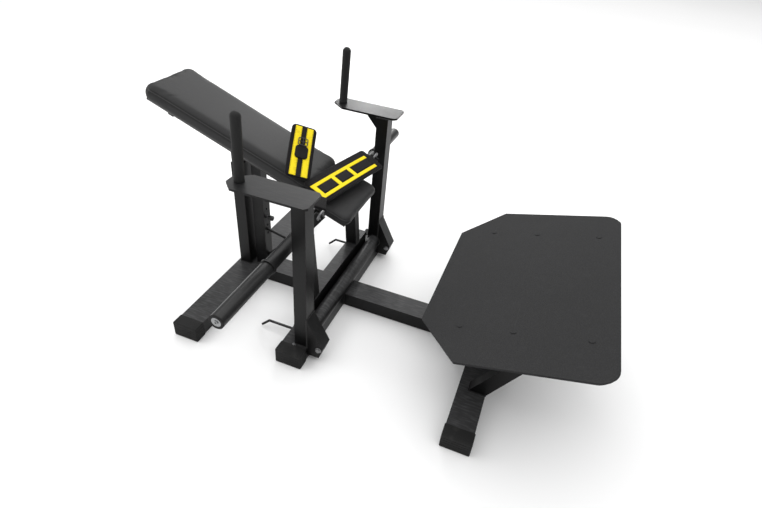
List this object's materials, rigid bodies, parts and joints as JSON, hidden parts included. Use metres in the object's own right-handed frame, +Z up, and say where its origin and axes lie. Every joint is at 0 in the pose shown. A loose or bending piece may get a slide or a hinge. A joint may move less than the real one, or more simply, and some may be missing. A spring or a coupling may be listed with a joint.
{
  "type": "hip thrust machine",
  "caption": "Plate-loaded hip thrust machine: sloping bench lever with weight horns, padded hip belt, side handles and a large tilted foot platform.",
  "frame": {"origin": "on the floor, under the middle of the overall bounding box", "axes": "+X towards the foot platform, +Y to the left of someone who sits on the bench, +Z up"},
  "size_m": [1.8227, 1.49, 0.945],
  "materials": {
    "frame_black": "satin black powder coat",
    "bench_black": "satin black powder coat",
    "horn_paint": "satin black powder coat on the plate horns",
    "cap_plastic": "matte black moulded plastic foot cap",
    "grip_rubber": "matte black foam rubber grip",
    "bumper_rubber": "matte black rubber",
    "zinc": "zinc-plated steel",
    "bronze": "plain bronze bush",
    "deck_texture": "charcoal anti-slip pebbled coat",
    "vinyl": "matte black upholstery vinyl",
    "board": "black-stained plywood back board",
    "belt_fabric": "black woven belt with yellow webbing trim",
    "webbing": "black nylon webbing",
    "knob_plastic": "matte black knob",
    "cap_silver": "silver horn end cap"
  },
  "bodies": {
    "frame": {"band_hooks": "frame_black", "belt_loop": "frame_black", "brace_tube": "frame_black", "foot_bolts": "zinc", "foot_bracket_left": "frame_black", "foot_bracket_right": "frame_black", "foot_platform": "deck_texture", "front_cross_tube": "frame_black", "front_foot_caps": "cap_plastic", "grip_left": "grip_rubber", "grip_right": "grip_rubber", "handle_bars": "frame_black", "mid_cross_tube": "frame_black", "mid_foot_caps": "cap_plastic", "pivot_lugs": "frame_black", "pivot_pin": "zinc", "platform_bolts": "zinc", "platform_post": "frame_black", "platform_rails": "frame_black", "platform_supports": "frame_black", "rear_cross_tube": "frame_black", "rear_foot_caps": "cap_plastic", "rear_post": "frame_black", "rest_beam": "frame_black", "rest_bumpers": "bumper_rubber", "rest_post_left": "frame_black", "rest_post_right": "frame_black", "selector_post": "frame_black", "spine_front": "frame_black", "spine_rear": "frame_black", "support_bar": "frame_black", "support_rubber": "bumper_rubber", "top_plate_left": "frame_black", "top_plate_right": "frame_black", "upright_gussets": "frame_black", "upright_left": "frame_black", "upright_right": "frame_black"},
    "bench": {"bench_rail": "bench_black", "rail_plug": "cap_plastic", "pivot_boss": "bench_black", "pivot_bushes": "bronze", "horn_bar": "bench_black", "plate_horn_left": "horn_paint", "plate_horn_right": "horn_paint", "horn_collars": "bench_black", "horn_caps": "cap_silver", "belt_anchors": "bench_black", "belt_rings": "zinc", "belt_near": "belt_fabric", "belt_far": "belt_fabric", "belt_buckle": "zinc", "belt_straps": "webbing", "seat_plate": "bench_black", "seat_board": "board", "seat_pad": "vinyl"},
    "back_cushion": {"back_board": "board", "back_pad": "vinyl", "back_pad_guides": "bench_black"},
    "pad_clamp": {"pad_knob": "knob_plastic"},
    "pull_pin": {"pull_pin": "knob_plastic"}
  },
  "joints": [
    {"name": "bench_swing", "type": "hinge", "parent": "frame", "child": "bench", "pos_m": [-0.5764, 0, 0.585], "axis": [0, -1, 0], "range_deg": [0, 19]},
    {"name": "back_pad_slide", "type": "slide", "parent": "bench", "child": "back_cushion", "axis": [-0.9397, 0, 0.342], "range_m": [0, 0.06]},
    {"name": "pad_clamp_turn", "type": "hinge", "parent": "bench", "child": "pad_clamp", "pos_m": [-0.8818, 0, 0.69616], "axis": [0.342, 0, 0.9397], "continuous": true},
    {"name": "pull_pin_slide", "type": "slide", "parent": "frame", "child": "pull_pin", "axis": [1, 0, 0], "range_m": [0, 0.012], "stiffness_N_per_m": 900, "springref_m": -0.004}
  ]
}
